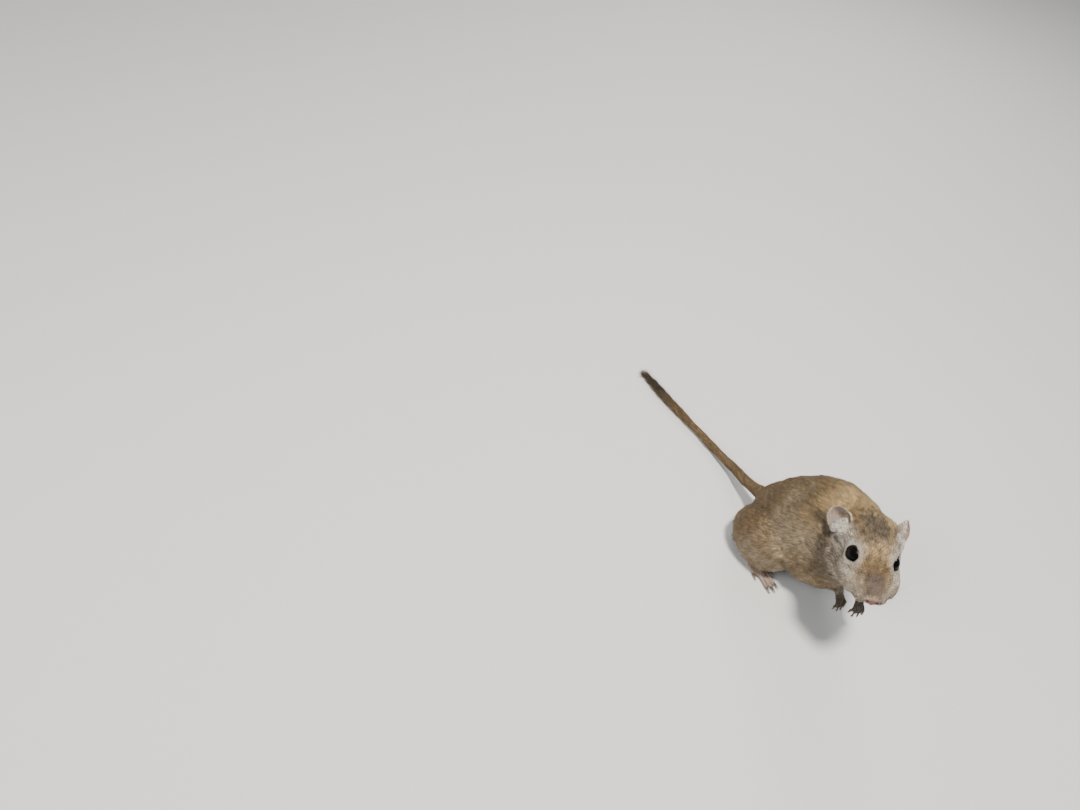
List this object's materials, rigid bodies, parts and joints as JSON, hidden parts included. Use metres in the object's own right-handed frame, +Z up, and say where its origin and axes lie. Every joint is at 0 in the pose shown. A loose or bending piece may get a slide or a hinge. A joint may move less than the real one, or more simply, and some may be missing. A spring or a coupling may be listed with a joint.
{
  "type": "gerbil",
  "caption": "Gerbil sitting up on its long hind feet, back rounded, head turned to its right, forepaws held before the breast and tail laid behind on the floor.",
  "frame": {"origin": "centre of the whole gerbil's bounding box in plan, at the height of the floor under its feet", "axes": "+X the way the body heads, +Y toward the gerbil's left side, +Z up from the floor"},
  "size_m": [0.1704, 0.057, 0.0638],
  "materials": {
    "coat": "dense short fur, golden buff ticked with dark brown",
    "tail_coat": "short fur with a darker bushy end",
    "ear_skin": "thin pinkish skin with fine pale down",
    "foot_skin": "pale skin with fine short hair and dark claws",
    "eye": "wet, glossy, black"
  },
  "bodies": {
    "root": {"torso": "coat", "neck": "coat", "head": "coat", "ear_left": "ear_skin", "ear_right": "ear_skin", "eye_left": "eye", "eye_right": "eye", "thigh_left": "coat", "thigh_right": "coat", "hind_foot_left": "foot_skin", "hind_foot_right": "foot_skin", "foreleg_left": "coat", "foreleg_right": "coat", "forepaw_left": "foot_skin", "forepaw_right": "foot_skin", "tail_root": "tail_coat", "tail_middle": "tail_coat", "tail_tip": "tail_coat"}
  },
  "joints": []
}
